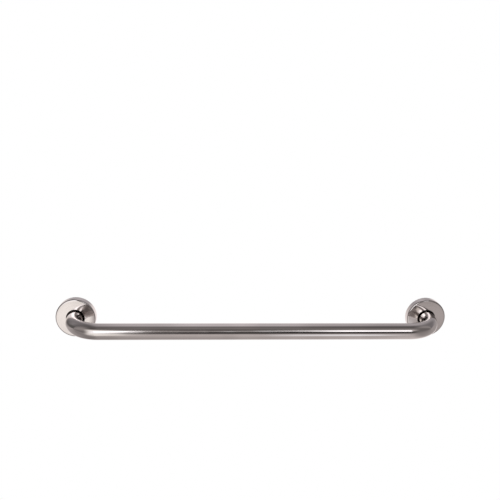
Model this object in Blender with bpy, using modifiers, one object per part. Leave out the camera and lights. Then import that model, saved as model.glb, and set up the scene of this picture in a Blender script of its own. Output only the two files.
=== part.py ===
"""A grab rail: a bent stainless tube welded to two mounting flanges, each hidden by a sliding cover.

X runs along the rail, Y points into the wall and Z is up. The wall is the plane Y = 0, and the origin
lies on it midway between the two flanges. Both ends are the same, so each end piece is made once about
its own axis, with local Z pointing out of the wall, and then stood at each end.

Each cover is a pressed cup whose hole is wider than the tube, so that it slides out along the leg, and
a little way round the bend, to uncover the screw holes in the flange.
"""

import math

import bmesh
import bpy
from mathutils import Vector

# Driving dimensions, in metres.
LEG_SPACING = 0.720  # between the two leg axes
TUBE_DIAMETER = 0.032
TUBE_WALL = 0.0015
STANDOFF = 0.085  # from the wall to the bar's axis
BEND_RADIUS = 0.058  # of the tube's centreline

FLANGE_DIAMETER = 0.075
FLANGE_THICKNESS = 0.003
SCREW_HOLES = 3
SCREW_CIRCLE_RADIUS = 0.0285
SCREW_HOLE_DIAMETER = 0.0065
COUNTERSINK_DIAMETER = 0.0115
FIRST_SCREW_ANGLE = math.radians(90)  # the first hole is at the top

BUMP_RADIUS = 0.003  # of the small bumps on the flange's rim, which grip the cover
BUMP_INSET = 0.0005  # from the bump's ends to the flange's faces

COVER_DIAMETER = 0.080
COVER_DEPTH = 0.016
COVER_SHEET = 0.001
COVER_HOLE_DIAMETER = 0.037  # wide enough to pass round the bend
COVER_CORNER_RADIUS = 0.003
COVER_CROWN = 0.0003  # how far the face rises from its edge to its hole

WELD_LEG = 0.0036  # both legs of the fillet between tube and flange
WELD_BULGE = 0.0003  # how far the fillet's face stands out of the straight line

FIT_GAP = 0.0003  # between pieces that touch
OVERCUT = 0.001  # how far a cutter runs past what it cuts

# How finely the round shapes are divided.
TUBE_BEVEL_RESOLUTION = 14  # a curve's bevel has 4 + 2 times this many sides
BEND_STEPS = 15
TURNING_STEPS = 48
CORNER_STEPS = 5
CROWN_STEPS = 3
WELD_STEPS = 4
HOLE_SIDES = 24
MERGE_DISTANCE = 0.00001
SMOOTH_ANGLE = math.radians(35)

# Derived sizes.
HALF_SPACING = LEG_SPACING / 2
TUBE_RADIUS = TUBE_DIAMETER / 2
STRAIGHT_LEG = STANDOFF - BEND_RADIUS  # from the wall to the start of the bend
TUBE_END = FLANGE_THICKNESS + FIT_GAP
INSIDE_COVER = COVER_DIAMETER / 2 * math.cos(math.pi / TURNING_STEPS) - COVER_SHEET
BUMP_REACH = INSIDE_COVER - FIT_GAP  # from the flange's axis to the tip of a bump
COUNTERSINK_DEPTH = (COUNTERSINK_DIAMETER - SCREW_HOLE_DIAMETER) / 2  # of a right-angled cone
ENDS = {"left": -HALF_SPACING, "right": HALF_SPACING}


def clear_scene():
    for obj in list(bpy.data.objects):
        bpy.data.objects.remove(obj)


def new_collection(name):
    collection = bpy.data.collections.new(name)
    bpy.context.scene.collection.children.link(collection)
    return collection


def steel(name, colour, roughness):
    material = bpy.data.materials.new(name)
    material.use_nodes = True
    shader = material.node_tree.nodes["Principled BSDF"]
    shader.inputs["Base Color"].default_value = (*colour, 1)
    shader.inputs["Roughness"].default_value = roughness
    shader.inputs["Metallic"].default_value = 1
    return material


def rail_centreline():
    """The tube's centreline, from the left end up the leg, round both bends and down to the right end."""
    half = [Vector((-HALF_SPACING, -TUBE_END, 0))]
    centre = Vector((-HALF_SPACING + BEND_RADIUS, -STRAIGHT_LEG, 0))
    for step in range(BEND_STEPS + 1):
        angle = step / BEND_STEPS * math.pi / 2
        half.append(centre - BEND_RADIUS * Vector((math.cos(angle), math.sin(angle), 0)))
    return half + [Vector((-point.x, point.y, 0)) for point in reversed(half)]


def make_rail_tube(collection, material):
    """One length of round tube with a bend near each end, open at both ends."""
    curve = bpy.data.curves.new("rail_tube", "CURVE")
    curve.dimensions = "3D"
    curve.bevel_depth = TUBE_RADIUS
    curve.bevel_resolution = TUBE_BEVEL_RESOLUTION
    points = rail_centreline()
    spline = curve.splines.new("POLY")
    spline.points.add(len(points) - 1)
    for knot, point in zip(spline.points, points):
        knot.co = (*point, 1)
    curve.materials.append(material)
    tube = bpy.data.objects.new("rail_tube", curve)
    collection.objects.link(tube)
    wall = tube.modifiers.new("wall", "SOLIDIFY")
    wall.thickness = TUBE_WALL
    wall.offset = -1
    wall.use_even_offset = True


def profile_mesh(name, points, closed, material):
    """An edge-only profile in the XZ plane, for a Screw modifier to turn about Z."""
    mesh = bpy.data.meshes.new(name)
    count = len(points)
    edges = [(i, (i + 1) % count) for i in range(count if closed else count - 1)]
    mesh.from_pydata([(radius, 0, height) for radius, height in points], edges, [])
    mesh.materials.append(material)
    return mesh


def add_turning(obj):
    turning = obj.modifiers.new("turning", "SCREW")
    turning.steps = TURNING_STEPS
    turning.render_steps = TURNING_STEPS
    turning.use_merge_vertices = True
    turning.merge_threshold = MERGE_DISTANCE
    turning.use_smooth_shade = True


def cover_profile():
    """The cover's outer skin, from the edge of its hole over the face and down the skirt to the wall."""
    hole_radius = COVER_HOLE_DIAMETER / 2
    rim_radius = COVER_DIAMETER / 2
    corner = (rim_radius - COVER_CORNER_RADIUS, COVER_DEPTH - COVER_CROWN - COVER_CORNER_RADIUS)
    points = []
    for step in range(CROWN_STEPS):
        share = step / CROWN_STEPS
        radius = hole_radius + share * (corner[0] - hole_radius)
        points.append((radius, COVER_DEPTH - COVER_CROWN * share**2))
    for step in range(CORNER_STEPS + 1):
        angle = (1 - step / CORNER_STEPS) * math.pi / 2
        points.append(
            (
                corner[0] + COVER_CORNER_RADIUS * math.cos(angle),
                corner[1] + COVER_CORNER_RADIUS * math.sin(angle),
            )
        )
    return points + [(rim_radius, 0)]


def cover_mesh(material):
    return profile_mesh("cover_plate", cover_profile(), False, material)


def make_cover(side, mesh, collection):
    cover = stand_at_end(f"{side}_cover_plate", mesh, side, collection)
    add_turning(cover)
    sheet = cover.modifiers.new("sheet", "SOLIDIFY")
    sheet.thickness = COVER_SHEET
    sheet.offset = -1
    sheet.use_even_offset = True


def weld_profile():
    """The fillet's section: two straight legs and a slightly bulging face, with a gap to tube and flange."""
    foot = TUBE_END
    toe = Vector((TUBE_RADIUS + FIT_GAP + WELD_LEG, foot))
    crest = Vector((TUBE_RADIUS + FIT_GAP, foot + WELD_LEG))
    outward = Vector((1, 1)).normalized()
    points = [tuple(crest)]
    for step in range(1, WELD_STEPS + 1):
        share = step / WELD_STEPS
        bulge = WELD_BULGE * math.sin(math.pi * share)
        points.append(tuple(crest.lerp(toe, share) + outward * bulge))
    return points + [(TUBE_RADIUS + FIT_GAP, foot)]


def weld_mesh(material):
    return profile_mesh("weld_bead", weld_profile(), True, material)


def make_weld(side, mesh, collection):
    add_turning(stand_at_end(f"{side}_weld_bead", mesh, side, collection))


def add_cylinder(work, radius, low, high, sides, place=(0, 0), top_radius=None):
    """Adds a closed cylinder or cone to a bmesh, standing on Z between two heights."""
    made = bmesh.ops.create_cone(
        work,
        cap_ends=True,
        segments=sides,
        radius1=radius,
        radius2=radius if top_radius is None else top_radius,
        depth=high - low,
    )
    bmesh.ops.translate(work, verts=made["verts"], vec=(*place, (low + high) / 2))


def on_circle(radius, angle):
    return (radius * math.cos(angle), radius * math.sin(angle))


def screw_angles():
    return [FIRST_SCREW_ANGLE + index * math.tau / SCREW_HOLES for index in range(SCREW_HOLES)]


def helper(name, build, collection):
    """A hidden object for a Boolean, made by a function that fills a bmesh."""
    work = bmesh.new()
    build(work)
    mesh = bpy.data.meshes.new(name)
    work.to_mesh(mesh)
    work.free()
    obj = bpy.data.objects.new(name, mesh)
    obj.hide_render = True
    obj.display_type = "WIRE"
    collection.objects.link(obj)
    return obj


def build_disc(work):
    add_cylinder(work, FLANGE_DIAMETER / 2, 0, FLANGE_THICKNESS, TURNING_STEPS)


def build_bump(angle):
    """A short round peg, mostly buried in the rim, whose side stands out of it."""
    place = on_circle(BUMP_REACH - BUMP_RADIUS, angle)

    def build(work):
        low = BUMP_INSET
        high = FLANGE_THICKNESS - BUMP_INSET
        add_cylinder(work, BUMP_RADIUS, low, high, HOLE_SIDES, place)

    return build


def build_screw_hole(angle):
    place = on_circle(SCREW_CIRCLE_RADIUS, angle)

    def build(work):
        low = -OVERCUT
        high = FLANGE_THICKNESS + OVERCUT
        add_cylinder(work, SCREW_HOLE_DIAMETER / 2, low, high, HOLE_SIDES, place)

    return build


def build_countersink(angle):
    """A right-angled cone, as wide as the screw's head where it meets the flange's face."""
    place = on_circle(SCREW_CIRCLE_RADIUS, angle)
    top_radius = COUNTERSINK_DIAMETER / 2 + OVERCUT

    def build(work):
        low = FLANGE_THICKNESS - COUNTERSINK_DEPTH
        high = FLANGE_THICKNESS + OVERCUT
        add_cylinder(work, SCREW_HOLE_DIAMETER / 2, low, high, HOLE_SIDES, place, top_radius)

    return build


def apply_boolean(obj, operation, other):
    boolean = obj.modifiers.new(operation.lower(), "BOOLEAN")
    boolean.operation = operation
    boolean.object = other


def flange_mesh(material, cutters):
    """A plate with three countersunk screw holes and three small bumps on its rim, as one mesh."""
    blank = helper("flange_blank", build_disc, cutters)
    for index, angle in enumerate(screw_angles(), start=1):
        bump = helper(f"bump_{index}", build_bump(angle + math.pi), cutters)
        apply_boolean(blank, "UNION", bump)
        hole = helper(f"screw_hole_{index}", build_screw_hole(angle), cutters)
        apply_boolean(blank, "DIFFERENCE", hole)
        countersink = helper(f"countersink_{index}", build_countersink(angle), cutters)
        apply_boolean(blank, "DIFFERENCE", countersink)
    graph = bpy.context.evaluated_depsgraph_get()
    mesh = bpy.data.meshes.new_from_object(blank.evaluated_get(graph))
    mesh.name = "mounting_flange"
    mesh.materials.clear()
    mesh.materials.append(material)
    mesh.shade_smooth()
    mesh.set_sharp_from_angle(angle=SMOOTH_ANGLE)
    return mesh


def stand_at_end(name, mesh, side, collection):
    """Stands a mesh on the wall at one leg's axis, its local Z pointing out of the wall."""
    obj = bpy.data.objects.new(name, mesh)
    obj.location = (ENDS[side], 0, 0)
    obj.rotation_euler = (math.pi / 2, 0, 0)
    collection.objects.link(obj)
    return obj


def main():
    clear_scene()
    grab_rail = new_collection("grab_rail")
    cutters = new_collection("cutters")
    polished = steel("polished_steel", (0.62, 0.60, 0.58), 0.10)
    brushed = steel("brushed_steel", (0.50, 0.49, 0.47), 0.38)
    weld_metal = steel("weld_metal", (0.40, 0.37, 0.34), 0.45)

    make_rail_tube(grab_rail, polished)
    flange = flange_mesh(brushed, cutters)
    weld = weld_mesh(weld_metal)
    cover = cover_mesh(polished)
    for side in ENDS:
        stand_at_end(f"{side}_mounting_flange", flange, side, grab_rail)
        make_weld(side, weld, grab_rail)
        make_cover(side, cover, grab_rail)


main()
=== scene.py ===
"""The looks of a polished stainless steel grab rail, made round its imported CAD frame.

The CAD solids are faceted, so each is replaced by a fine mesh of the same piece in the same place: the bent
tube, the two pressed cover plates, the two mounting flanges behind them and their weld beads. Everything is
in metres, in the frame of the CAD model: X runs along the rail, +Y points into the wall and Z is up.
"""

import math

import bmesh
import bpy
from mathutils import Matrix, Vector, noise


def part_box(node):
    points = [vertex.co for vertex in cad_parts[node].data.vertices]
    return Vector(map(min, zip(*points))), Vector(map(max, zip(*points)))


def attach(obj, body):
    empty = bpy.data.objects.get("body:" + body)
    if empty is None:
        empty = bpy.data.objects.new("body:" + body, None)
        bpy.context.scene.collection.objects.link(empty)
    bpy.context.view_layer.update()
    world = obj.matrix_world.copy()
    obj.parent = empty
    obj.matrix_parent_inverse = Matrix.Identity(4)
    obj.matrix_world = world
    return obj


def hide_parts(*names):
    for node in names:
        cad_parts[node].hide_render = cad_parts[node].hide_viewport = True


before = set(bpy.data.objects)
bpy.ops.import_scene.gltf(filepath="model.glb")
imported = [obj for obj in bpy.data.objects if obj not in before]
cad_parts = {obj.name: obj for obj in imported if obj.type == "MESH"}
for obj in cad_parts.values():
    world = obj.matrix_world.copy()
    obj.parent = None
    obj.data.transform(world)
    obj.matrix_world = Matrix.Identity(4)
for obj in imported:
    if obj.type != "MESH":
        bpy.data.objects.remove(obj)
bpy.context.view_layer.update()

SIDES = ("left", "right")


# Sizes read from the frame.
TUBE_LOW, TUBE_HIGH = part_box("rail_tube")
TUBE_RADIUS = TUBE_HIGH.z
TUBE_END = -TUBE_HIGH.y  # from the wall to the tube's cut ends
LEG_X = TUBE_HIGH.x - TUBE_RADIUS
STANDOFF = -TUBE_LOW.y - TUBE_RADIUS

COVER_LOW, COVER_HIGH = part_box("right_cover_plate")
COVER_RADIUS = COVER_HIGH.z
COVER_DEPTH = -COVER_LOW.y

FLANGE_LOW, FLANGE_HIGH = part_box("right_mounting_flange")
FLANGE_RADIUS = (FLANGE_HIGH.x - FLANGE_LOW.x) / 2
FLANGE_THICKNESS = -FLANGE_LOW.y
BUMP_REACH = -FLANGE_LOW.z  # the lowest bump is straight below the flange's centre

WELD_LOW, WELD_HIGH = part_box("right_weld_bead")
WELD_REACH = WELD_HIGH.z
WELD_HEIGHT = -WELD_LOW.y

# Sizes that the frame's boxes don't give. They repeat the CAD model's.
BEND_RADIUS = 0.058
TUBE_WALL = 0.0015
COVER_SHEET = 0.001
COVER_HOLE_RADIUS = 0.0185
COVER_CORNER_RADIUS = 0.003
COVER_CROWN = 0.0003
SCREW_CIRCLE_RADIUS = 0.0285
SCREW_HOLE_RADIUS = 0.00325
COUNTERSINK_RADIUS = 0.00575
BUMP_RADIUS = 0.003
BUMP_INSET = 0.0005
FIT_GAP = 0.0003
SCREW_ANGLES = [math.radians(90 + 120 * index) for index in range(3)]

STRAIGHT_LEG = STANDOFF - BEND_RADIUS


# --- Meshes ---------------------------------------------------------------------------------------


def arc(centre, radius, start, end, steps):
    """Points on an arc, with its angles in degrees."""
    points = []
    for step in range(steps + 1):
        angle = math.radians(start + (end - start) * step / steps)
        points.append((centre[0] + radius * math.cos(angle), centre[1] + radius * math.sin(angle)))
    return points


def grid_faces(rings, wrap_rings):
    """Joins rings of vertices, each closed on itself, into quads."""
    faces = []
    count = len(rings)
    for index in range(count if wrap_rings else count - 1):
        ring = rings[index]
        following = rings[(index + 1) % count]
        for side in range(len(ring)):
            other = (side + 1) % len(ring)
            faces.append((ring[side], ring[other], following[other], following[side]))
    return faces


def mesh_from_rings(name, ring_points, wrap_rings):
    """A smooth mesh from rings of points. Rings that wrap round make a closed surface."""
    mesh = bpy.data.meshes.new(name)
    points = [point for ring in ring_points for point in ring]
    size = len(ring_points[0])
    rings = [range(index * size, (index + 1) * size) for index in range(len(ring_points))]
    mesh.from_pydata(points, [], grid_faces(rings, wrap_rings))
    mesh.validate()
    work = bmesh.new()
    work.from_mesh(mesh)
    bmesh.ops.recalc_face_normals(work, faces=work.faces)
    work.to_mesh(mesh)
    work.free()
    mesh.shade_smooth()
    return mesh


def turned_mesh(name, profile, steps):
    """A closed profile of (radius, height) points turned about local Z."""
    rings = []
    for step in range(steps):
        angle = step / steps * math.tau
        rings.append([(r * math.cos(angle), r * math.sin(angle), h) for r, h in profile])
    return mesh_from_rings(name, rings, True)


def keep_flats_flat(obj):
    """Weights the shading by face area, so that small roundings don't shade the flats next to them."""
    weighted = obj.modifiers.new("flats", "WEIGHTED_NORMAL")
    weighted.mode = "FACE_AREA"
    weighted.weight = 100
    weighted.keep_sharp = True


def new_object(name, mesh, materials):
    obj = bpy.data.objects.new(name, mesh)
    bpy.context.scene.collection.objects.link(obj)
    for material in materials:
        mesh.materials.append(material)
    return obj


def stand_at_leg(obj, side):
    """Puts a piece on its leg's axis, its local Z pointing out of the wall."""
    obj.location = (-LEG_X if side == "left" else LEG_X, 0, 0)
    obj.rotation_euler = (math.pi / 2, 0, 0)


# --- The tube -------------------------------------------------------------------------------------

TUBE_SIDES = 128
LEG_STEPS = 6
BEND_STEPS = 56
BAR_STEPS = 120
BEND_FLATTENING = 0.012  # how much thinner a bent tube gets across its bend
BEND_SPREAD = 0.006  # and how much wider in the other direction
BEND_EASE = math.radians(14)  # how much of a bend's turn it takes to reach the full flattening
WAVE_DEPTH = 0.00005  # of the slight waves that polishing leaves
WAVES_ALONG = 14  # the noise's scale along the tube, to the metre
WAVES_AROUND = 1.6  # and round it
EDGE_BREAK = 0.00025  # of the tube's cut ends


def bend_share(angle):
    """How fully a bend has flattened the tube, from 0 at its two ends to 1 inside."""
    inside = min(angle, math.pi / 2 - angle) / BEND_EASE
    inside = max(0.0, min(1.0, inside))
    return inside * inside * (3 - 2 * inside)


def half_stations():
    """(distance along, centre, outward normal, share of flattening), from the left end to the middle."""
    stations = []
    leg = STRAIGHT_LEG - TUBE_END
    for step in range(LEG_STEPS):
        along = leg * step / LEG_STEPS
        stations.append((along, Vector((-LEG_X, -TUBE_END - along, 0)), Vector((-1, 0, 0)), 0))
    centre = Vector((-LEG_X + BEND_RADIUS, -STRAIGHT_LEG, 0))
    for step in range(BEND_STEPS):
        angle = step / BEND_STEPS * math.pi / 2
        normal = Vector((-math.cos(angle), -math.sin(angle), 0))
        place = centre + normal * BEND_RADIUS
        stations.append((leg + BEND_RADIUS * angle, place, normal, bend_share(angle)))
    bar_start = leg + BEND_RADIUS * math.pi / 2
    half_bar = LEG_X - BEND_RADIUS
    for step in range(BAR_STEPS + 1):
        along = half_bar * step / BAR_STEPS
        place = Vector((-half_bar + along, -STANDOFF, 0))
        stations.append((bar_start + along, place, Vector((0, -1, 0)), 0))
    return stations


def all_stations():
    half = half_stations()
    whole = 2 * half[-1][0]
    mirrored = []
    for along, place, normal, share in reversed(half[:-1]):
        mirror = Vector((-place.x, place.y, 0))
        mirrored.append((whole - along, mirror, Vector((-normal.x, normal.y, 0)), share))
    return half + mirrored


def tube_ring(station, radius, waves):
    """One ring of the tube's wall, and where its points were before the tube was bent.

    The waves only ever dip below the round surface, so the tube stays within its size.
    """
    along, centre, normal, share = station
    across = radius * (1 - BEND_FLATTENING * share)
    upward = radius * (1 + BEND_SPREAD * share)
    ring = []
    unbent = []
    for side in range(TUBE_SIDES):
        angle = side / TUBE_SIDES * math.tau
        around = Vector((0, math.cos(angle), math.sin(angle))) * WAVES_AROUND
        spot = Vector((along * WAVES_ALONG, 0, 0)) + around
        dip = waves * WAVE_DEPTH * (noise.noise(spot) - 1)
        ring.append(
            centre
            + normal * (across + dip) * math.cos(angle)
            + Vector((0, 0, (upward + dip) * math.sin(angle)))
        )
        unbent.append((along, radius * math.cos(angle), radius * math.sin(angle)))
    return ring, unbent


def tube_rings():
    """Rings down the outside of the tube, round its far end and back up the inside."""
    stations = all_stations()
    outer = [tube_ring(station, TUBE_RADIUS, 1) for station in stations]
    inner = [tube_ring(station, TUBE_RADIUS - TUBE_WALL, 0) for station in stations]
    first = broken_edge(stations[0], stations[1])
    last = broken_edge(stations[-1], stations[-2])
    return first[:1] + outer[1:-1] + last + list(reversed(inner[1:-1])) + list(reversed(first[1:]))


def broken_edge(end, next_one):
    """The rings of a cut end with its two edges lightly filed: outer side, outer face, inner face, bore."""
    step_in = (next_one[1] - end[1]).normalized() * EDGE_BREAK
    moved = (end[0], end[1] + step_in, end[2], end[3])
    bore = TUBE_RADIUS - TUBE_WALL
    return [
        tube_ring(moved, TUBE_RADIUS, 0),
        tube_ring(end, TUBE_RADIUS - EDGE_BREAK, 0),
        tube_ring(end, bore + EDGE_BREAK, 0),
        tube_ring(moved, bore, 0),
    ]


def make_rail_tube(polished, mill):
    made = tube_rings()
    mesh = mesh_from_rings("rail_tube_fine", [ring for ring, _ in made], True)
    unbent = mesh.attributes.new("unbent", "FLOAT_VECTOR", "POINT")
    unbent.data.foreach_set("vector", [value for _, ring in made for point in ring for value in point])
    tube = new_object("rail_tube_fine", mesh, [polished, mill])
    bore = TUBE_RADIUS - TUBE_WALL
    for face in mesh.polygons:
        points = [unbent.data[index].vector for index in face.vertices]
        if all(math.hypot(point.y, point.z) < bore + EDGE_BREAK / 2 for point in points):
            face.material_index = 1
    keep_flats_flat(tube)
    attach(tube, "rail")
    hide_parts("rail_tube")


# --- The cover plates -----------------------------------------------------------------------------

COVER_STEPS = 192
HOLE_EDGE_RADIUS = 0.00045
HOLE_EDGE_STEPS = 4
SKIRT_EDGE_RADIUS = 0.0002
SKIRT_EDGE_STEPS = 3
CROWN_STEPS = 10
CORNER_STEPS = 12
INNER_CORNER_STEPS = 8


def cover_profile():
    """The sheet's section: hole edge, face, corner, skirt, skirt edge and back up the inside."""
    corner_r = COVER_RADIUS - COVER_CORNER_RADIUS
    corner_h = COVER_DEPTH - COVER_CROWN - COVER_CORNER_RADIUS
    edge_r = COVER_HOLE_RADIUS + HOLE_EDGE_RADIUS

    def face_height(radius):
        share = (radius - COVER_HOLE_RADIUS) / (corner_r - COVER_HOLE_RADIUS)
        return COVER_DEPTH - COVER_CROWN * share * share

    radii = [edge_r + (corner_r - edge_r) * step / CROWN_STEPS for step in range(CROWN_STEPS + 1)]
    outer_face = [(radius, face_height(radius)) for radius in radii]
    upper_edge = (edge_r, outer_face[0][1] - HOLE_EDGE_RADIUS)
    lower_edge = (edge_r, outer_face[0][1] - COVER_SHEET + HOLE_EDGE_RADIUS)
    outer_rim = (COVER_RADIUS - SKIRT_EDGE_RADIUS, SKIRT_EDGE_RADIUS)
    inner_rim = (COVER_RADIUS - COVER_SHEET + SKIRT_EDGE_RADIUS, SKIRT_EDGE_RADIUS)
    corner = (corner_r, corner_h)
    points = arc(upper_edge, HOLE_EDGE_RADIUS, 180, 90, HOLE_EDGE_STEPS)[:-1]
    points += outer_face[:-1]
    points += arc(corner, COVER_CORNER_RADIUS, 90, 0, CORNER_STEPS)
    points += arc(outer_rim, SKIRT_EDGE_RADIUS, 0, -90, SKIRT_EDGE_STEPS)
    points += arc(inner_rim, SKIRT_EDGE_RADIUS, -90, -180, SKIRT_EDGE_STEPS)
    points += arc(corner, COVER_CORNER_RADIUS - COVER_SHEET, 0, 90, INNER_CORNER_STEPS)
    points += [(radius, height - COVER_SHEET) for radius, height in reversed(outer_face[:-1])]
    points += arc(lower_edge, HOLE_EDGE_RADIUS, -90, -180, HOLE_EDGE_STEPS)[1:]
    return points


def is_inside_cover(face):
    """Whether a face of the cover is on its unpolished inner side."""
    within = math.hypot(face.center.x, face.center.y) < COVER_RADIUS - COVER_SHEET + SKIRT_EDGE_RADIUS / 2
    below_sheet = face.center.z < COVER_DEPTH - COVER_CROWN - COVER_SHEET * 0.6
    looks_back = face.normal.z < -0.5
    return within and (below_sheet or looks_back)


def make_cover(side, polished, mill):
    mesh = turned_mesh(f"{side}_cover_plate_fine", cover_profile(), COVER_STEPS)
    cover = new_object(f"{side}_cover_plate_fine", mesh, [polished, mill])
    for face in mesh.polygons:
        if is_inside_cover(face):
            face.material_index = 1
    keep_flats_flat(cover)
    stand_at_leg(cover, side)
    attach(cover, f"{side}_cover")
    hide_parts(f"{side}_cover_plate")


# --- The mounting flanges and weld beads ----------------------------------------------------------

FLANGE_STEPS = 160
FLANGE_EDGE = 0.0003
FLANGE_EDGE_STEPS = 3
BUMP_EDGE_STEPS = 4
HOLE_STEPS = 48
OVERCUT = 0.001  # how far a cutter runs past what it cuts
MERGE_DISTANCE = 0.000001
SHARP_ANGLE = math.radians(30)


def flange_profile():
    """A disc's half section. Its two points on the axis close it."""
    rim = FLANGE_RADIUS - FLANGE_EDGE
    top = FLANGE_THICKNESS
    return (
        [(0, top)]
        + arc((rim, top - FLANGE_EDGE), FLANGE_EDGE, 90, 0, FLANGE_EDGE_STEPS)
        + arc((rim, FLANGE_EDGE), FLANGE_EDGE, 0, -90, FLANGE_EDGE_STEPS)
        + [(0, 0)]
    )


def axis_turned_mesh(name, profile, steps):
    """A profile whose first and last points are on the axis, turned about local Z into a closed mesh."""
    mesh = bpy.data.meshes.new(name)
    work = bmesh.new()
    verts = [work.verts.new((radius, 0, height)) for radius, height in profile]
    edges = [work.edges.new(pair) for pair in zip(verts, verts[1:])]
    bmesh.ops.spin(
        work,
        geom=verts + edges,
        cent=(0, 0, 0),
        axis=(0, 0, 1),
        dvec=(0, 0, 0),
        angle=math.tau,
        steps=steps,
        use_merge=True,
    )
    bmesh.ops.remove_doubles(work, verts=work.verts, dist=MERGE_DISTANCE)
    bmesh.ops.recalc_face_normals(work, faces=work.faces)
    work.to_mesh(mesh)
    work.free()
    return mesh


def screw_cutter_profile():
    """A plain hole that opens into a right-angled countersink at the flange's face."""
    depth = COUNTERSINK_RADIUS - SCREW_HOLE_RADIUS
    top = FLANGE_THICKNESS + OVERCUT
    return [
        (0, top),
        (COUNTERSINK_RADIUS + OVERCUT, top),
        (SCREW_HOLE_RADIUS, FLANGE_THICKNESS - depth),
        (SCREW_HOLE_RADIUS, -OVERCUT),
        (0, -OVERCUT),
    ]


def bump_profile():
    """A short pin with rounded edges, set in from both faces of the flange."""
    low = BUMP_INSET
    high = FLANGE_THICKNESS - BUMP_INSET
    edge = BUMP_INSET
    side = BUMP_RADIUS - edge
    return (
        [(0, high)]
        + arc((side, high - edge), edge, 90, 0, BUMP_EDGE_STEPS)
        + arc((side, low + edge), edge, 0, -90, BUMP_EDGE_STEPS)
        + [(0, low)]
    )


def joined_copies(name, profile, radius, angles):
    """Copies of a turned shape round a circle, as one helper object for a Boolean."""
    single = axis_turned_mesh(name, profile, HOLE_STEPS)
    work = bmesh.new()
    for angle in angles:
        before = len(work.verts)
        work.from_mesh(single)
        work.verts.ensure_lookup_table()
        offset = (radius * math.cos(angle), radius * math.sin(angle), 0)
        bmesh.ops.translate(work, verts=work.verts[before:], vec=offset)
    work.to_mesh(single)
    work.free()
    return new_object(name, single, [])


def without_slivers(mesh):
    """Takes out the zero-area faces that Booleans leave."""
    work = bmesh.new()
    work.from_mesh(mesh)
    bmesh.ops.dissolve_degenerate(work, dist=MERGE_DISTANCE, edges=work.edges)
    work.to_mesh(mesh)
    work.free()
    return mesh


def flange_mesh():
    """The disc with its bumps joined on and its screw holes cut. Both flanges use it."""
    blank = new_object("flange_blank", axis_turned_mesh("flange_blank", flange_profile(), FLANGE_STEPS), [])
    bump_angles = [angle + math.pi for angle in SCREW_ANGLES]
    bumps = joined_copies("flange_bumps", bump_profile(), BUMP_REACH - BUMP_RADIUS, bump_angles)
    holes = joined_copies("flange_holes", screw_cutter_profile(), SCREW_CIRCLE_RADIUS, SCREW_ANGLES)
    for operation, other in (("UNION", bumps), ("DIFFERENCE", holes)):
        boolean = blank.modifiers.new(operation.lower(), "BOOLEAN")
        boolean.operation = operation
        boolean.object = other
    graph = bpy.context.evaluated_depsgraph_get()
    mesh = without_slivers(bpy.data.meshes.new_from_object(blank.evaluated_get(graph)))
    for helper in (blank, bumps, holes):
        bpy.data.objects.remove(helper)
    mesh.shade_smooth()
    mesh.set_sharp_from_angle(angle=SHARP_ANGLE)
    return mesh


def make_flange(side, mesh, material):
    flange = new_object(f"{side}_mounting_flange_fine", mesh.copy(), [material])
    keep_flats_flat(flange)
    stand_at_leg(flange, side)
    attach(flange, "rail")
    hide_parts(f"{side}_mounting_flange")


WELD_STEPS = 420
WELD_FACE_STEPS = 10
WELD_BULGE = 0.00028  # how far the bead's face stands out at its middle
WELD_RIPPLES = 42  # round the tube
RIPPLE_DEPTH = 0.00016
RIPPLE_BOW = 0.45  # how far each ripple's middle runs ahead of its ends, in ripples
RIPPLE_WANDER = 0.12  # how uneven their spacing is, in ripples
WANDER_SCALE = 5
RIPPLE_ROUNDNESS = 0.6  # below 1, crests are broad and the valleys between them narrow
WELD_SHARP_ANGLE = math.radians(50)
SEED_STEP = 7.3  # between the two welds' places in the noise


def weld_ring(turn, seed):
    """The bead's section at one turn angle: its two hidden legs and a rippled, slightly bulging face."""
    root = TUBE_RADIUS + FIT_GAP
    foot = FLANGE_THICKNESS + FIT_GAP
    toe = Vector((WELD_REACH, foot))
    crest = Vector((root, WELD_HEIGHT))
    outward = Vector((1, 1)).normalized()
    ring = [(root, foot)]
    for step in range(WELD_FACE_STEPS + 1):
        share = step / WELD_FACE_STEPS
        middle = math.sin(math.pi * share)
        wander = RIPPLE_WANDER * noise.noise(Vector((turn * WANDER_SCALE, seed, 0)))
        phase = turn / math.tau * WELD_RIPPLES - RIPPLE_BOW * middle + wander
        ripple = abs(math.sin(math.pi * phase)) ** RIPPLE_ROUNDNESS
        lift = WELD_BULGE * middle - RIPPLE_DEPTH * (1 - ripple) * middle
        ring.append(tuple(crest.lerp(toe, share) + outward * lift))
    return [(r * math.cos(turn), r * math.sin(turn), h) for r, h in ring]


def make_weld(side, material):
    seed = SIDES.index(side) * SEED_STEP
    rings = [weld_ring(step / WELD_STEPS * math.tau, seed) for step in range(WELD_STEPS)]
    mesh = mesh_from_rings(f"{side}_weld_bead_fine", rings, True)
    mesh.set_sharp_from_angle(angle=WELD_SHARP_ANGLE)
    weld = new_object(f"{side}_weld_bead_fine", mesh, [material])
    stand_at_leg(weld, side)
    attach(weld, "rail")
    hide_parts(f"{side}_weld_bead")


# --- Materials ------------------------------------------------------------------------------------


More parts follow.
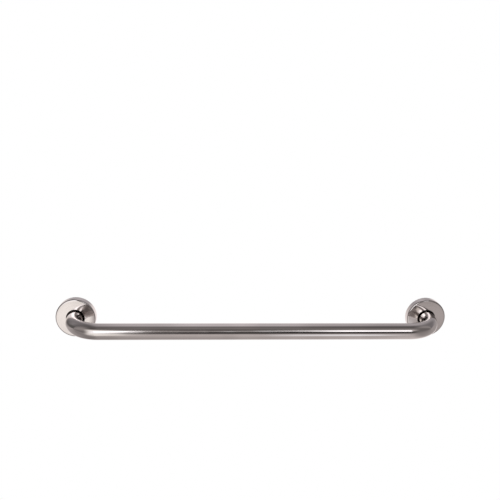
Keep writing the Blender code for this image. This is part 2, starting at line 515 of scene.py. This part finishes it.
class Tree:
    """Adds nodes to one material's tree and joins them."""

    def __init__(self, name):
        self.material = bpy.data.materials.new(name)
        self.material.use_nodes = True
        self.nodes = self.material.node_tree.nodes
        self.links = self.material.node_tree.links
        self.shader = self.nodes["Principled BSDF"]
        self.shader.inputs["Metallic"].default_value = 1

    def add(self, kind, inputs=(), **settings):
        """A node with its settings and inputs. An input is a value, or another node's output socket."""
        node = self.nodes.new("ShaderNode" + kind)
        for name, value in settings.items():
            setattr(node, name, value)
        for key, value in dict(inputs).items():
            self.put(value, node.inputs[key])
        return node

    def put(self, value, socket):
        if isinstance(value, bpy.types.NodeSocket):
            self.links.new(value, socket)
        else:
            socket.default_value = value

    def place(self):
        """Where a point is on the piece, in metres, from the piece's own origin."""
        return self.add("TexCoord").outputs["Object"]

    def from_axis(self, place):
        """The part of a place that is across the piece's axis, and its length."""
        across = self.scaled(place, (1.0, 1.0, 0.0))
        return across, self.add("VectorMath", {0: across}, operation="LENGTH").outputs["Value"]

    def attribute(self, name):
        return self.add("Attribute", attribute_name=name).outputs["Vector"]

    def scaled(self, vector, factors):
        inputs = {0: vector, 1: factors}
        return self.add("VectorMath", inputs, operation="MULTIPLY").outputs[0]

    def noise(self, vector, scale, detail=2.0, roughness=0.5):
        inputs = {"Vector": vector, "Scale": scale, "Detail": detail, "Roughness": roughness}
        return self.add("TexNoise", inputs).outputs["Fac"]

    def ranged(self, value, low, high, to_low=0.0, to_high=1.0):
        inputs = {"Value": value, "From Min": low, "From Max": high, "To Min": to_low, "To Max": to_high}
        return self.add("MapRange", inputs, interpolation_type="SMOOTHSTEP").outputs["Result"]

    def sum(self, *values):
        total = values[0]
        for value in values[1:]:
            total = self.add("Math", {0: total, 1: value}, operation="ADD").outputs[0]
        return total

    def product(self, first, second):
        return self.add("Math", {0: first, 1: second}, operation="MULTIPLY").outputs[0]

    def mixed(self, factor, first, second):
        """A colour mix. The node's sockets 0, 6 and 7 and its output 2 are the ones for colours."""
        node = self.add("Mix", data_type="RGBA")
        self.put(factor, node.inputs[0])
        self.put(first, node.inputs[6])
        self.put(second, node.inputs[7])
        return node.outputs[2]

    def ramp(self, value, stops):
        node = self.add("ValToRGB", {"Fac": value})
        elements = node.color_ramp.elements
        while len(elements) < len(stops):
            elements.new(0.5)
        for element, (position, colour) in zip(elements, stops):
            element.position = position
            element.color = colour
        return node.outputs["Color"]

    def bump(self, height, strength, distance):
        inputs = {"Height": height, "Strength": strength, "Distance": distance}
        return self.add("Bump", inputs).outputs["Normal"]

    def finish(self, colour, roughness, normal):
        self.put(colour, self.shader.inputs["Base Color"])
        self.put(roughness, self.shader.inputs["Roughness"])
        self.put(normal, self.shader.inputs["Normal"])
        return self.material


def colour(red, green, blue):
    return (red, green, blue, 1.0)


STEEL_LIGHT = colour(0.715, 0.67, 0.65)
STEEL_DARK = colour(0.62, 0.578, 0.558)
POLISH_ROUGHNESS = 0.05  # of the cleanest polish, before smudges, streaks and lines add to it

# How fast the polishing lines and the broader streaks change across their direction, and along it.
FINE_ACROSS = 3200.0
COARSE_ACROSS = 420.0
FINE_ALONG = 60.0
COARSE_ALONG = 7.0
FINE_AROUND = 5.0
COARSE_AROUND = 1.5


def polished_finish(tree, grain_fine, grain_coarse):
    """Mirror polish: faint lines left by the mop, handling smudges, and slightly uneven colour."""
    place = tree.place()
    lines = tree.noise(grain_fine, scale=1.0, detail=3.0)
    streaks = tree.noise(grain_coarse, scale=1.0, detail=2.0)
    smudge = tree.noise(place, scale=26.0, detail=4.0, roughness=0.6)
    haze = tree.ranged(smudge, 0.48, 0.72)
    cloud = tree.noise(place, scale=11.0, detail=2.0)
    shade = tree.sum(tree.product(cloud, 0.7), tree.product(streaks, 0.3))
    tint = tree.mixed(tree.ranged(shade, 0.35, 0.65), STEEL_LIGHT, STEEL_DARK)
    roughness = tree.sum(
        tree.product(haze, 0.05),
        tree.product(tree.ranged(streaks, 0.4, 0.75), 0.035),
        tree.product(lines, 0.03),
        POLISH_ROUGHNESS,
    )
    normal = tree.bump(lines, strength=0.25, distance=0.000004)
    return tree.finish(tint, roughness, normal)


def polished_tube():
    """Polished lengthwise, so the lines run along the tube and round its bends."""
    tree = Tree("polished_tube_steel")
    unbent = tree.attribute("unbent")
    fine = tree.scaled(unbent, (FINE_ALONG, FINE_ACROSS, FINE_ACROSS))
    coarse = tree.scaled(unbent, (COARSE_ALONG, COARSE_ACROSS, COARSE_ACROSS))
    return polished_finish(tree, fine, coarse)


def turned_coordinates(tree, ring_scale, turn_scale):
    """Coordinates that change fast with the distance from the piece's axis and slowly round it."""
    place = tree.place()
    across, radius = tree.from_axis(place)
    around = tree.add("VectorMath", {0: across}, operation="NORMALIZE").outputs[0]
    height = tree.add("SeparateXYZ", {0: place}).outputs["Z"]
    out = tree.sum(radius, height)
    ring = tree.add("CombineXYZ", {"Z": tree.product(out, ring_scale)}).outputs[0]
    turn = tree.scaled(around, (turn_scale, turn_scale, 0.0))
    return tree.add("VectorMath", {0: ring, 1: turn}, operation="ADD").outputs[0]


def polished_cover():
    """Polished on a lathe, so the lines run round the plate."""
    tree = Tree("polished_cover_steel")
    fine = turned_coordinates(tree, FINE_ACROSS, FINE_AROUND)
    coarse = turned_coordinates(tree, COARSE_ACROSS, COARSE_AROUND)
    return polished_finish(tree, fine, coarse)


MILL_ROUGHNESS = 0.30
FLANGE_ROUGHNESS = 0.27
WELD_ROUGHNESS = 0.20
WELD_CIRCLE = (TUBE_RADIUS + WELD_REACH) / 2  # the radius of the weld's middle
HEAT_REACH = 0.007  # how far its heat tint spreads


def mill_steel():
    """The unpolished insides: dull, with a cloudy mill surface."""
    tree = Tree("mill_steel")
    place = tree.place()
    cloud = tree.noise(place, scale=90.0, detail=4.0, roughness=0.6)
    grit = tree.noise(place, scale=2600.0, detail=2.0)
    light = colour(0.40, 0.385, 0.37)
    dark = colour(0.29, 0.275, 0.26)
    tint = tree.mixed(tree.ranged(cloud, 0.3, 0.7), light, dark)
    roughness = tree.sum(tree.product(cloud, 0.15), tree.product(grit, 0.08), MILL_ROUGHNESS)
    return tree.finish(tint, roughness, tree.bump(grit, strength=0.4, distance=0.00001))


def flange_steel():
    """Hairline-brushed plate, with the straw, bronze and blue tints of the weld's heat round the tube."""
    tree = Tree("flange_steel")
    place = tree.place()
    brushing = tree.noise(tree.scaled(place, (30.0, 2400.0, 2400.0)), scale=1.0, detail=3.0)
    cloud = tree.noise(place, scale=90.0, detail=4.0)
    light = colour(0.58, 0.565, 0.55)
    dark = colour(0.44, 0.425, 0.41)
    plain = tree.mixed(tree.ranged(brushing, 0.3, 0.7), light, dark)
    _, radius = tree.from_axis(place)
    wander = tree.ranged(cloud, 0.3, 0.7, -0.0016, 0.0016)
    from_weld = tree.sum(tree.sum(radius, wander), -WELD_CIRCLE)
    distance = tree.add("Math", {0: from_weld}, operation="ABSOLUTE").outputs[0]
    weld_half = WELD_REACH - WELD_CIRCLE
    heat = tree.ranged(distance, weld_half, weld_half + HEAT_REACH)
    stops = [
        (0.0, colour(0.31, 0.32, 0.37)),
        (0.12, colour(0.38, 0.34, 0.35)),
        (0.34, colour(0.48, 0.42, 0.34)),
        (0.66, colour(0.57, 0.53, 0.46)),
        (1.0, colour(1.0, 1.0, 1.0)),
    ]
    tint = tree.ramp(heat, stops)
    keep = tree.ranged(heat, 0.75, 1.0)
    colours = tree.mixed(keep, tint, plain)
    roughness = tree.sum(tree.product(brushing, 0.12), tree.product(cloud, 0.08), FLANGE_ROUGHNESS)
    return tree.finish(colours, roughness, tree.bump(brushing, strength=0.2, distance=0.00001))


def weld_metal():
    """As-welded metal: bright crests, darker ripples and patches of heat tint."""
    tree = Tree("weld_metal")
    place = tree.place()
    patch = tree.noise(place, scale=240.0, detail=3.0)
    grain = tree.noise(place, scale=1800.0, detail=2.0)
    stops = [
        (0.25, colour(0.30, 0.27, 0.34)),
        (0.45, colour(0.46, 0.38, 0.28)),
        (0.60, colour(0.58, 0.52, 0.42)),
        (0.75, colour(0.55, 0.54, 0.53)),
    ]
    roughness = tree.sum(tree.product(patch, 0.15), tree.product(grain, 0.1), WELD_ROUGHNESS)
    normal = tree.bump(grain, strength=0.5, distance=0.00002)
    return tree.finish(tree.ramp(patch, stops), roughness, normal)


# --- The studio -----------------------------------------------------------------------------------

FLOOR_HEIGHT = -1.1
STAGE_RADIUS = 14.0
STAGE_WHITE = 1.0

# The studio is described by directions seen from the rail. The elevation is in degrees, from the front
# (0) up over the top (90) to the back (180), and negative underneath. How far aside is the sine of the
# angle to the right.

# The room's brightness by elevation, at five places from left to right across it. Most of these tones
# began as another script's least-squares fit to the photo's brightness. They were rounded, and some of
# them were then adjusted.
ROOM = [
    (
        -0.75,
        [
            (-180, 0.12),
            (-150, 0.50),
            (-120, 0.42),
            (-90, 0.38),
            (-60, 0.30),
            (-30, 0.32),
            (0, 0.20),
            (25, 0.30),
            (50, 0.36),
            (75, 0.31),
            (100, 0.17),
            (125, 0.28),
            (150, 0.22),
            (180, 0.12),
        ],
    ),
    (
        -0.38,
        [
            (-180, 0.75),
            (-150, 1.00),
            (-115, 0.28),
            (-90, 0.26),
            (-60, 0.28),
            (-35, 0.55),
            (0, 0.50),
            (30, 0.70),
            (55, 0.10),
            (80, 0.13),
            (105, 0.15),
            (130, 0.22),
            (150, 0.32),
            (165, 0.50),
            (180, 0.75),
        ],
    ),
    (
        0.0,
        [
            (-180, 1.20),
            (-150, 0.88),
            (-120, 0.54),
            (-95, 0.42),
            (-60, 0.50),
            (-35, 0.60),
            (-20, 0.50),
            (-5, 0.03),
            (12, 0.07),
            (22, 0.36),
            (38, 0.10),
            (50, 0.15),
            (64, 0.25),
            (80, 0.17),
            (94, 0.31),
            (105, 0.62),
            (130, 0.76),
            (150, 0.56),
            (162, 0.56),
            (180, 1.20),
        ],
    ),
    (
        0.36,
        [
            (-180, 0.90),
            (-150, 1.10),
            (-115, 0.68),
            (-60, 0.56),
            (-35, 0.52),
            (-15, 0.46),
            (-2, 0.06),
            (16, 0.05),
            (30, 0.65),
            (50, 0.26),
            (75, 0.11),
            (95, 0.14),
            (118, 0.46),
            (150, 0.42),
            (165, 0.45),
            (180, 0.90),
        ],
    ),
    (
        0.75,
        [
            (-180, 0.41),
            (-120, 0.40),
            (-60, 0.31),
            (-30, 0.29),
            (-8, 0.24),
            (10, 0.19),
            (35, 0.16),
            (60, 0.19),
            (80, 0.33),
            (110, 0.20),
            (140, 0.22),
            (165, 0.36),
            (180, 0.41),
        ],
    ),
]
WARM_ROOM = (1.06, 0.985, 0.98)
COOL_ROOM = (1.035, 0.98, 1.02)
COOL_ELEVATIONS = (85, 170)  # over the top and behind
WARM_GLOW = (1.0, 0.976, 0.95)
COOL_GLOW = (0.985, 0.99, 1.025)


class Panel:
    """A soft-edged panel. Its sides may shift with the elevation, so that it leans."""

    def __init__(self, strength, tint, elevations, edges, aside, side_edges, lean=0.0):
        self.glow = tuple(channel * strength for channel in tint)
        self.elevations = elevations
        self.edges = edges
        self.aside = aside
        self.side_edges = side_edges
        self.lean = lean


# The first, third, fifth and seventh began in the same fit as the room, and were then changed. The last
# three are small things in the room, which break up the highlight along the bar.
PANELS = [
    Panel(1.05, WARM_GLOW, (-34, 45), (22, 12), (-0.67, -0.155), (0.28, 0.05)),
    Panel(1.18, WARM_GLOW, (-36, -10), (12, 10), (-0.36, -0.14), (0.12, 0.05)),
    Panel(1.45, COOL_GLOW, (-5, 32), (18, 12), (-0.56, -0.145), (0.20, 0.06), lean=0.001),
    Panel(2.6, COOL_GLOW, (13, 27), (8, 8), (-0.36, -0.13), (0.10, 0.05)),
    Panel(1.6, COOL_GLOW, (18, 38), (6, 9), (0.15, 0.36), (0.10, 0.10)),
    Panel(2.15, COOL_GLOW, (19, 27), (5, 7), (0.19, 0.34), (0.08, 0.08)),
    Panel(1.08, COOL_GLOW, (-47, -22.5), (14, 5), (0.11, 0.27), (0.12, 0.06)),
    Panel(0.13, WARM_GLOW, (90, 176), (20, 10), (-1.20, -0.90), (0.10, 0.08)),
    Panel(0.62, COOL_GLOW, (15, 28), (5, 5), (0.020, 0.034), (0.008, 0.008)),
    Panel(0.62, COOL_GLOW, (15, 35), (5, 6), (0.070, 0.098), (0.012, 0.006)),
    Panel(0.01, COOL_GLOW, (-1, 13), (4, 5), (0.102, 0.14), (0.006, 0.05)),
]


class WorldTree(Tree):
    """The same helpers, for the world's tree."""

    def __init__(self, world):
        world.use_nodes = True
        self.nodes = world.node_tree.nodes
        self.links = world.node_tree.links

    def room_strip(self, share, stops):
        """One strip of the room, from below round the front and over the top to the back."""
        first_cool, last_cool = COOL_ELEVATIONS
        tinted = []
        for at, tone in stops:
            tint = COOL_ROOM if first_cool <= at <= last_cool else WARM_ROOM
            tinted.append(((at + 180) / 360, colour(*(tone * channel for channel in tint))))
        return self.ramp(share, tinted)

    def room(self, share, aside):
        """The room's strips, each blending into the next one to its right."""
        light = self.room_strip(share, ROOM[0][1])
        for (left, _), (right, stops) in zip(ROOM, ROOM[1:]):
            light = self.mixed(self.ranged(aside, left, right), light, self.room_strip(share, stops))
        return light

    def fade(self, value, edge, width, inside_above):
        """From 0 to 1 across one soft edge of a panel."""
        ends = (0.0, 1.0) if inside_above else (1.0, 0.0)
        return self.ranged(value, edge - width / 2, edge + width / 2, *ends)

    def panel_mask(self, panel, degrees, aside):
        """How fully a direction lies inside a panel, from 0 to 1."""
        leaning = self.sum(aside, self.product(degrees, -panel.lean))
        masks = []
        for value, places, widths in (
            (degrees, panel.elevations, panel.edges),
            (leaning, panel.aside, panel.side_edges),
        ):
            low = self.fade(value, places[0], widths[0], True)
            high = self.fade(value, places[1], widths[1], False)
            masks.append(self.product(low, high))
        return self.product(*masks)


def make_world():
    world = bpy.data.worlds.new("studio")
    bpy.context.scene.world = world
    tree = WorldTree(world)
    split = tree.add("SeparateXYZ", {0: tree.add("TexCoord").outputs["Generated"]})
    aside = split.outputs["X"]
    front = tree.product(split.outputs["Y"], -1.0)
    angle = tree.add("Math", {0: split.outputs["Z"], 1: front}, operation="ARCTAN2").outputs[0]
    degrees = tree.product(angle, math.degrees(1))
    whole_turn = {"Value": degrees, "From Min": -180.0, "From Max": 180.0}
    share = tree.add("MapRange", whole_turn).outputs["Result"]
    light = tree.room(share, aside)
    for panel in PANELS:
        light = tree.mixed(tree.panel_mask(panel, degrees, aside), light, colour(*panel.glow))
    tree.put(light, tree.nodes["Background"].inputs["Color"])


def white_stage_material():
    material = bpy.data.materials.new("stage_white")
    material.use_nodes = True
    nodes = material.node_tree.nodes
    nodes.clear()
    glow = nodes.new("ShaderNodeEmission")
    glow.inputs["Color"].default_value = colour(STAGE_WHITE, STAGE_WHITE, STAGE_WHITE)
    output = nodes.new("ShaderNodeOutputMaterial")
    material.node_tree.links.new(glow.outputs[0], output.inputs["Surface"])
    return material


def only_for_camera(obj):
    """The white stage is a backdrop: it adds no light and isn't mirrored in the steel."""
    obj.visible_diffuse = False
    obj.visible_glossy = False
    obj.visible_transmission = False
    obj.visible_shadow = False


def stage_object(name, create, **settings):
    """A white object from one of bmesh's primitives."""
    work = bmesh.new()
    create(work, radius=STAGE_RADIUS, **settings)
    mesh = bpy.data.meshes.new(name)
    work.to_mesh(mesh)
    work.free()
    return new_object(name, mesh, [])


def make_stage():
    white = white_stage_material()
    floor = stage_object("floor", bmesh.ops.create_circle, cap_ends=True, segments=64)
    floor.location.z = FLOOR_HEIGHT
    backdrop = stage_object("backdrop", bmesh.ops.create_uvsphere, u_segments=64, v_segments=32)
    for obj in (floor, backdrop):
        obj.data.materials.append(white)
        only_for_camera(obj)


# The camera's values come from another script's fit to the object's outlines in the photo.
CAMERA_PLACE = (-0.0835, -1.2414, 0.4796)
CAMERA_YAW = math.radians(3.415)
CAMERA_PITCH = math.radians(15.233)
CAMERA_ROLL = math.radians(1.246)
CAMERA_LENS = 46.08  # millimetres, as is the sensor's width
CAMERA_SENSOR = 36


def make_camera():
    data = bpy.data.cameras.new("camera")
    data.lens = CAMERA_LENS
    data.sensor_width = CAMERA_SENSOR
    camera = bpy.data.objects.new("camera", data)
    bpy.context.scene.collection.objects.link(camera)
    level = math.cos(CAMERA_PITCH)
    ahead = Vector((math.sin(CAMERA_YAW) * level, math.cos(CAMERA_YAW) * level, -math.sin(CAMERA_PITCH)))
    right = Vector((math.cos(CAMERA_YAW), -math.sin(CAMERA_YAW), 0))
    up = right.cross(ahead)
    rolled_right = right * math.cos(CAMERA_ROLL) + up * math.sin(CAMERA_ROLL)
    rolled_up = up * math.cos(CAMERA_ROLL) - right * math.sin(CAMERA_ROLL)
    turn = Matrix((rolled_right, rolled_up, -ahead)).transposed().to_4x4()
    camera.matrix_world = Matrix.Translation(CAMERA_PLACE) @ turn
    bpy.context.scene.camera = camera


# --- The whole scene ------------------------------------------------------------------------------


def main():
    bpy.context.scene.view_settings.view_transform = "Standard"
    make_camera()
    make_world()
    make_stage()
    mill = mill_steel()
    make_rail_tube(polished_tube(), mill)
    cover_steel = polished_cover()
    plate = flange_steel()
    bead = weld_metal()
    flange = flange_mesh()
    for side in SIDES:
        make_cover(side, cover_steel, mill)
        make_flange(side, flange, plate)
        make_weld(side, bead)


main()
